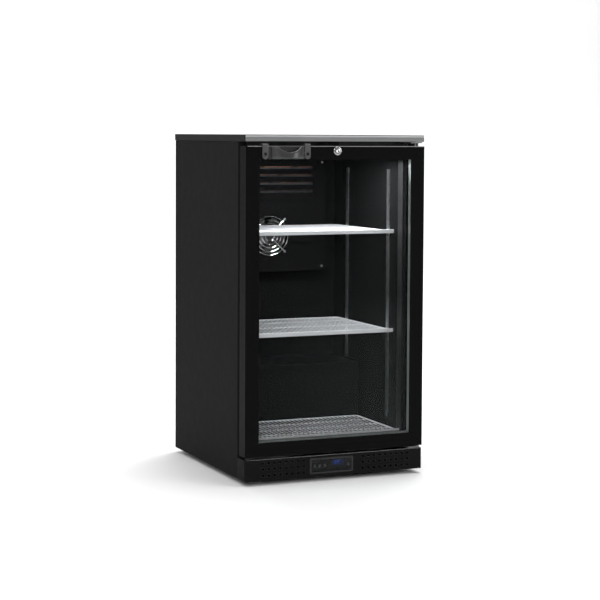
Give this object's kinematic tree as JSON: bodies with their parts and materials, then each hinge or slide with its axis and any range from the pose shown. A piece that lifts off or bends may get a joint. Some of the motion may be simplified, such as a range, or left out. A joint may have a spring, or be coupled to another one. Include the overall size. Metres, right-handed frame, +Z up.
{
  "type": "undercounter refrigerator",
  "caption": "Black undercounter bottle cooler with a hinged, self-closing glass door, pocket handle, lock, wire shelves, vented plinth with controls, and its cooling machinery.",
  "frame": {"origin": "on the floor under the centre of the whole object's bounding box", "axes": "+Z up, front (door) towards -Y, door hinge on the +X side"},
  "size_m": [0.5, 0.541, 0.88],
  "materials": {
    "casing_black": "satin black powder coat",
    "door_black": "satin black extrusion",
    "plinth_black": "satin black powder coat",
    "moulded_black": "fine-grained black moulding",
    "gasket_rubber": "matt soft rubber",
    "zinc_plate": "galvanised, satin",
    "chrome": "bright plating",
    "aluminium": "satin mill finish",
    "liner": "dark stucco-embossed sheet",
    "shelf_white": "white-coated wire",
    "foam": "rigid insulation foam",
    "door_glass": "clear low-emissivity glass",
    "tinted_window": "smoked acrylic",
    "lamp": "opal diffuser",
    "key_plastic": "gloss black key caps"
  },
  "bodies": {
    "cabinet": {"worktop": "casing_black", "side_panel_left": "casing_black", "side_panel_right": "casing_black", "compressor": "casing_black", "condenser_motor": "casing_black", "lock_keeper": "casing_black", "plinth_grille": "plinth_black", "breaker_frame": "moulded_black", "mains_inlet": "moulded_black", "control_bezel": "moulded_black", "lamp_housing": "moulded_black", "condensate_tray": "moulded_black", "back_panel": "zinc_plate", "base_tray": "zinc_plate", "bay_panel": "zinc_plate", "rear_grille": "zinc_plate", "hinge_bracket_lower": "zinc_plate", "hinge_bracket_upper": "zinc_plate", "evaporator_motor": "zinc_plate", "pilaster_front_left": "aluminium", "pilaster_front_right": "aluminium", "pilaster_rear_left": "aluminium", "pilaster_rear_right": "aluminium", "evaporator_coil": "aluminium", "condenser_coil": "aluminium", "liner": "liner", "fan_cover": "liner", "foam_body": "foam", "control_window": "tinted_window", "lamp_diffuser": "lamp"},
    "door": {"door_stile_left": "door_black", "door_stile_right": "door_black", "door_rail_top": "door_black", "door_rail_bottom": "door_black", "pane_outer": "door_glass", "pane_inner": "door_glass", "spacer_bar": "aluminium", "door_gasket": "gasket_rubber", "closer_bar": "zinc_plate", "hinge_bush_lower": "moulded_black", "hinge_bush_upper": "moulded_black", "lock_barrel": "chrome", "handle_clip_left": "moulded_black", "handle_clip_right": "moulded_black", "handle_scoop": "moulded_black"},
    "lock": {"lock_plug": "chrome", "lock_cam": "zinc_plate"},
    "evaporator_fan": {"evaporator_fan": "moulded_black"},
    "condenser_fan": {"condenser_fan": "zinc_plate"},
    "key_1": {"control_key_1": "key_plastic"},
    "key_2": {"control_key_2": "key_plastic"},
    "key_3": {"control_key_3": "key_plastic"},
    "key_4": {"control_key_4": "key_plastic"},
    "foot_front_left": {"foot_front_left": "moulded_black"},
    "foot_front_right": {"foot_front_right": "moulded_black"},
    "foot_rear_left": {"foot_rear_left": "moulded_black"},
    "foot_rear_right": {"foot_rear_right": "moulded_black"},
    "shelf_upper": {"shelf_upper": "shelf_white"},
    "shelf_lower": {"shelf_lower": "shelf_white"},
    "floor_rack": {"floor_rack": "shelf_white"}
  },
  "joints": [
    {"name": "door_hinge", "type": "hinge", "parent": "cabinet", "child": "door", "pos_m": [0.2372, -0.2325, 0], "axis": [0, 0, 1], "range_deg": [0, 110], "stiffness_Nm_per_rad": 1.5, "springref_deg": -20.05},
    {"name": "lock_turn", "type": "hinge", "parent": "door", "child": "lock", "pos_m": [0.0015, -0.24, 0.84], "axis": [0, 1, 0], "range_deg": [0, 90]},
    {"name": "evaporator_fan_spin", "type": "hinge", "parent": "cabinet", "child": "evaporator_fan", "pos_m": [0, 0.199, 0.6], "axis": [0, 1, 0], "continuous": true},
    {"name": "condenser_fan_spin", "type": "hinge", "parent": "cabinet", "child": "condenser_fan", "pos_m": [-0.134, 0.182, 0.112], "axis": [1, 0, 0], "continuous": true},
    {"name": "key_1_press", "type": "slide", "parent": "cabinet", "child": "key_1", "axis": [0, 1, 0], "range_m": [0, 0.0008], "stiffness_N_per_m": 400, "springref_m": -0.0008},
    {"name": "key_2_press", "type": "slide", "parent": "cabinet", "child": "key_2", "axis": [0, 1, 0], "range_m": [0, 0.0008], "stiffness_N_per_m": 400, "springref_m": -0.0008},
    {"name": "key_3_press", "type": "slide", "parent": "cabinet", "child": "key_3", "axis": [0, 1, 0], "range_m": [0, 0.0008], "stiffness_N_per_m": 400, "springref_m": -0.0008},
    {"name": "key_4_press", "type": "slide", "parent": "cabinet", "child": "key_4", "axis": [0, 1, 0], "range_m": [0, 0.0008], "stiffness_N_per_m": 400, "springref_m": -0.0008},
    {"name": "foot_front_left_height", "type": "slide", "parent": "cabinet", "child": "foot_front_left", "axis": [0, 0, -1], "range_m": [0, 0.012]},
    {"name": "foot_front_right_height", "type": "slide", "parent": "cabinet", "child": "foot_front_right", "axis": [0, 0, -1], "range_m": [0, 0.012]},
    {"name": "foot_rear_left_height", "type": "slide", "parent": "cabinet", "child": "foot_rear_left", "axis": [0, 0, -1], "range_m": [0, 0.012]},
    {"name": "foot_rear_right_height", "type": "slide", "parent": "cabinet", "child": "foot_rear_right", "axis": [0, 0, -1], "range_m": [0, 0.012]},
    {"name": "shelf_upper_lift", "type": "slide", "parent": "cabinet", "child": "shelf_upper", "axis": [0, 0, 1], "range_m": [0, 0.012]},
    {"name": "shelf_lower_lift", "type": "slide", "parent": "cabinet", "child": "shelf_lower", "axis": [0, 0, 1], "range_m": [0, 0.012]},
    {"name": "floor_rack_lift", "type": "slide", "parent": "cabinet", "child": "floor_rack", "axis": [0, 0, 1], "range_m": [0, 0.012]}
  ]
}
